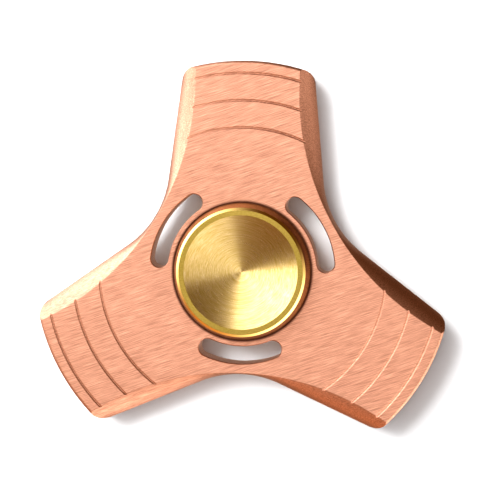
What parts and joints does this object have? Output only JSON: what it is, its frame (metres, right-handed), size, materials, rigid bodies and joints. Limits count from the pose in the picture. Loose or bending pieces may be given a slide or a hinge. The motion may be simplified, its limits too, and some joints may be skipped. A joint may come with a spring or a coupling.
{
  "type": "fidget spinner",
  "caption": "Three-arm copper fidget spinner with bevelled arms, arc grooves, curved hub slots, a sealed ball bearing and dished brass finger caps.",
  "frame": {"origin": "centre of the bearing, on the spin axis at mid thickness, which is also the centre of mass", "axes": "+Z along the spin axis towards the upper cap, +Y along one arm, and the other two arms 120 degrees to each side"},
  "size_m": [0.0624, 0.0558, 0.0128],
  "materials": {
    "copper_body": "brushed copper",
    "brass_cap": "turned, satin rim",
    "race_steel": "ground",
    "ball_steel": "polished",
    "cage_steel": "pressed, satin",
    "shield_steel": "pressed, satin",
    "spring_wire": "drawn wire",
    "stud_steel": "black oxide"
  },
  "bodies": {
    "hub": {"upper_cap": "brass_cap", "lower_cap": "brass_cap", "cap_stud": "stud_steel", "bearing_inner_race": "race_steel"},
    "rotor": {"spinner_body": "copper_body", "bearing_outer_race": "race_steel", "shield_upper": "shield_steel", "shield_lower": "shield_steel", "snap_ring_upper": "spring_wire", "snap_ring_lower": "spring_wire"},
    "cage": {"ball_cage": "cage_steel"},
    "ball_01": {"ball_01": "ball_steel"},
    "ball_02": {"ball_02": "ball_steel"},
    "ball_03": {"ball_03": "ball_steel"},
    "ball_04": {"ball_04": "ball_steel"},
    "ball_05": {"ball_05": "ball_steel"},
    "ball_06": {"ball_06": "ball_steel"},
    "ball_07": {"ball_07": "ball_steel"},
    "ball_08": {"ball_08": "ball_steel"},
    "ball_09": {"ball_09": "ball_steel"},
    "ball_10": {"ball_10": "ball_steel"}
  },
  "joints": [
    {"name": "body_spin", "type": "hinge", "parent": "hub", "child": "rotor", "pos_m": [0, 0, 0], "axis": [0, 0, 1], "continuous": true},
    {"name": "cage_spin", "type": "hinge", "parent": "hub", "child": "cage", "pos_m": [0, 0, 0], "axis": [0, 0, 1], "continuous": true},
    {"name": "ball_01_spin", "type": "hinge", "parent": "cage", "child": "ball_01", "pos_m": [0.00476, 0, 0], "axis": [0, 0, 1], "continuous": true},
    {"name": "ball_02_spin", "type": "hinge", "parent": "cage", "child": "ball_02", "pos_m": [0.00385, 0.0028, 0], "axis": [0, 0, 1], "continuous": true},
    {"name": "ball_03_spin", "type": "hinge", "parent": "cage", "child": "ball_03", "pos_m": [0.00147, 0.00453, 0], "axis": [0, 0, 1], "continuous": true},
    {"name": "ball_04_spin", "type": "hinge", "parent": "cage", "child": "ball_04", "pos_m": [-0.00147, 0.00453, 0], "axis": [0, 0, 1], "continuous": true},
    {"name": "ball_05_spin", "type": "hinge", "parent": "cage", "child": "ball_05", "pos_m": [-0.00385, 0.0028, 0], "axis": [0, 0, 1], "continuous": true},
    {"name": "ball_06_spin", "type": "hinge", "parent": "cage", "child": "ball_06", "pos_m": [-0.00476, 0, 0], "axis": [0, 0, 1], "continuous": true},
    {"name": "ball_07_spin", "type": "hinge", "parent": "cage", "child": "ball_07", "pos_m": [-0.00385, -0.0028, 0], "axis": [0, 0, 1], "continuous": true},
    {"name": "ball_08_spin", "type": "hinge", "parent": "cage", "child": "ball_08", "pos_m": [-0.00147, -0.00453, 0], "axis": [0, 0, 1], "continuous": true},
    {"name": "ball_09_spin", "type": "hinge", "parent": "cage", "child": "ball_09", "pos_m": [0.00147, -0.00453, 0], "axis": [0, 0, 1], "continuous": true},
    {"name": "ball_10_spin", "type": "hinge", "parent": "cage", "child": "ball_10", "pos_m": [0.00385, -0.0028, 0], "axis": [0, 0, 1], "continuous": true}
  ],
  "couplings": [
    {"joint": "cage_spin", "follows": "body_spin", "ratio": 0.58333},
    {"joint": "ball_01_spin", "follows": "body_spin", "ratio": 2.9167},
    {"joint": "ball_02_spin", "follows": "body_spin", "ratio": 2.9167},
    {"joint": "ball_03_spin", "follows": "body_spin", "ratio": 2.9167},
    {"joint": "ball_04_spin", "follows": "body_spin", "ratio": 2.9167},
    {"joint": "ball_05_spin", "follows": "body_spin", "ratio": 2.9167},
    {"joint": "ball_06_spin", "follows": "body_spin", "ratio": 2.9167},
    {"joint": "ball_07_spin", "follows": "body_spin", "ratio": 2.9167},
    {"joint": "ball_08_spin", "follows": "body_spin", "ratio": 2.9167},
    {"joint": "ball_09_spin", "follows": "body_spin", "ratio": 2.9167},
    {"joint": "ball_10_spin", "follows": "body_spin", "ratio": 2.9167}
  ]
}
